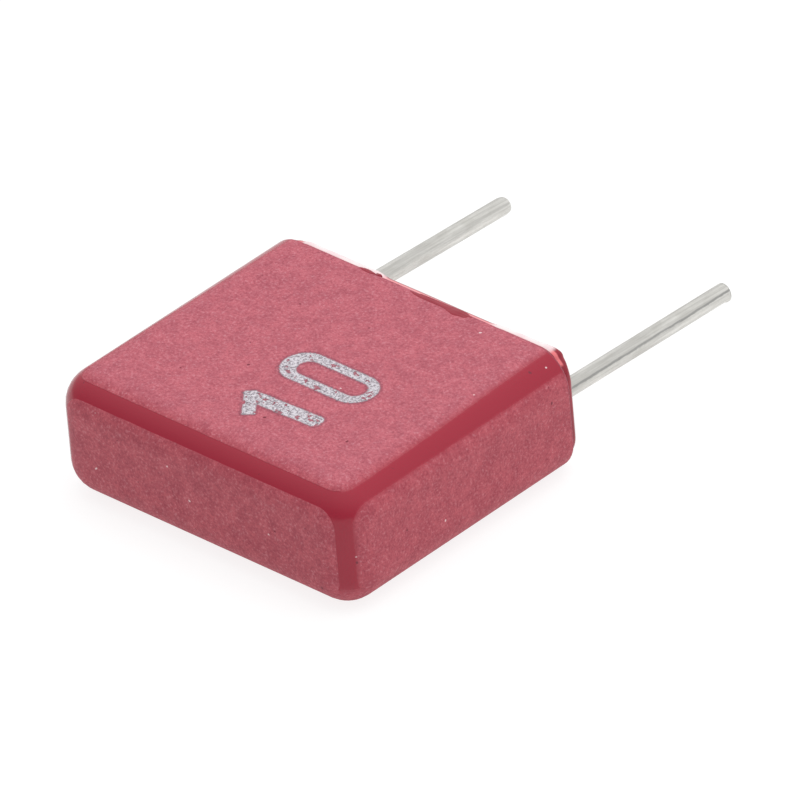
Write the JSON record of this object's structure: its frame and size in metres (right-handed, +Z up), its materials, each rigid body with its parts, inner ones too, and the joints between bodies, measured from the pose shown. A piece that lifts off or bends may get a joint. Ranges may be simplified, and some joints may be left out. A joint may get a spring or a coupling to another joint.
{
  "type": "box film capacitor",
  "caption": "Red moulded box capacitor, a pressed film roll set in epoxy resin, with tinned wire leads leaving its open end for through-hole boards.",
  "frame": {"origin": "on the base plane, under the middle of the part's bounding box, leads included", "axes": "+X along the lead pitch, +Y the way the leads leave the case, +Z up from the broad face that the part lies on"},
  "size_m": [0.0104, 0.0158, 0.0036],
  "materials": {
    "case_plastic": "spark-eroded flats, smooth radii",
    "epoxy": "gloss, as poured",
    "metallised_film": "bright, tightly wound",
    "sprayed_metal": "rough sprayed",
    "tinned_wire": "satin tin with drawing marks"
  },
  "bodies": {
    "root": {"case": "case_plastic", "potting_resin": "epoxy", "film_roll": "metallised_film", "contact_layer_left": "sprayed_metal", "contact_layer_right": "sprayed_metal", "lead_left": "tinned_wire", "lead_right": "tinned_wire"}
  },
  "joints": []
}
